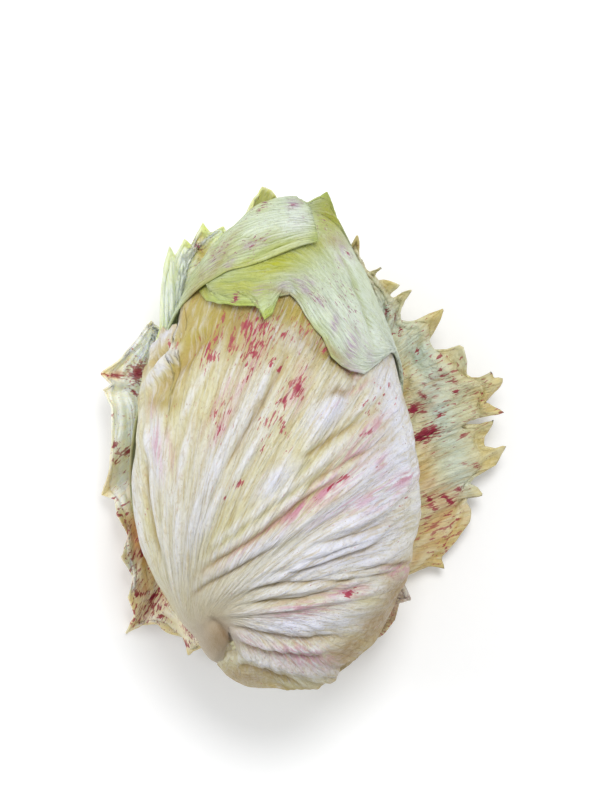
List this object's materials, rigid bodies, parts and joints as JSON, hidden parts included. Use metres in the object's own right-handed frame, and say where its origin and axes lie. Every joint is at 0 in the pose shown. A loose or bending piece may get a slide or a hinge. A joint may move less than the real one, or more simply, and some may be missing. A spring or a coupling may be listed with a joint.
{
  "type": "radicchio head",
  "caption": "Head of cream radicchio flecked with crimson, cut at the base and lying on its side, with pleated leaves wrapped round a tight heart and toothed outer leaves spread on the surface.",
  "frame": {"origin": "on the surface that the head lies on, at the small flat spot under its middle", "axes": "+Z up from the surface, +Y along the head towards its tip, +X towards the spread outer leaf with long teeth; the picture looks straight down with +Y up in the picture"},
  "size_m": [0.1773, 0.2153, 0.1063],
  "materials": {
    "cream_leaf": "ivory leaf flesh with pink and crimson stains along the veins, satin",
    "green_leaf": "pale green to white leaf, yellow-green at the margins, flecked with lilac and crimson, satin",
    "straw_leaf": "straw-yellow outer leaf with a pale bluish middle and crimson flecks, dull",
    "inner_leaf": "pale yellow-green inner leaf, satin",
    "stem": "cut stem, creamy white turning brown at the cut, dull"
  },
  "bodies": {
    "root": {"heart": "inner_leaf", "stump": "stem", "inner_leaf_1": "inner_leaf", "inner_leaf_2": "inner_leaf", "inner_leaf_3": "inner_leaf", "back_wrap_right_leaf": "cream_leaf", "back_wrap_left_leaf": "green_leaf", "left_wrap_leaf": "cream_leaf", "lower_wrap_leaf": "straw_leaf", "front_leaf": "cream_leaf", "shoulder_leaf": "green_leaf", "crown_leaf": "green_leaf", "back_left_leaf": "green_leaf", "under_leaf": "straw_leaf", "right_outer_leaf": "straw_leaf", "left_outer_leaf": "straw_leaf"}
  },
  "joints": []
}
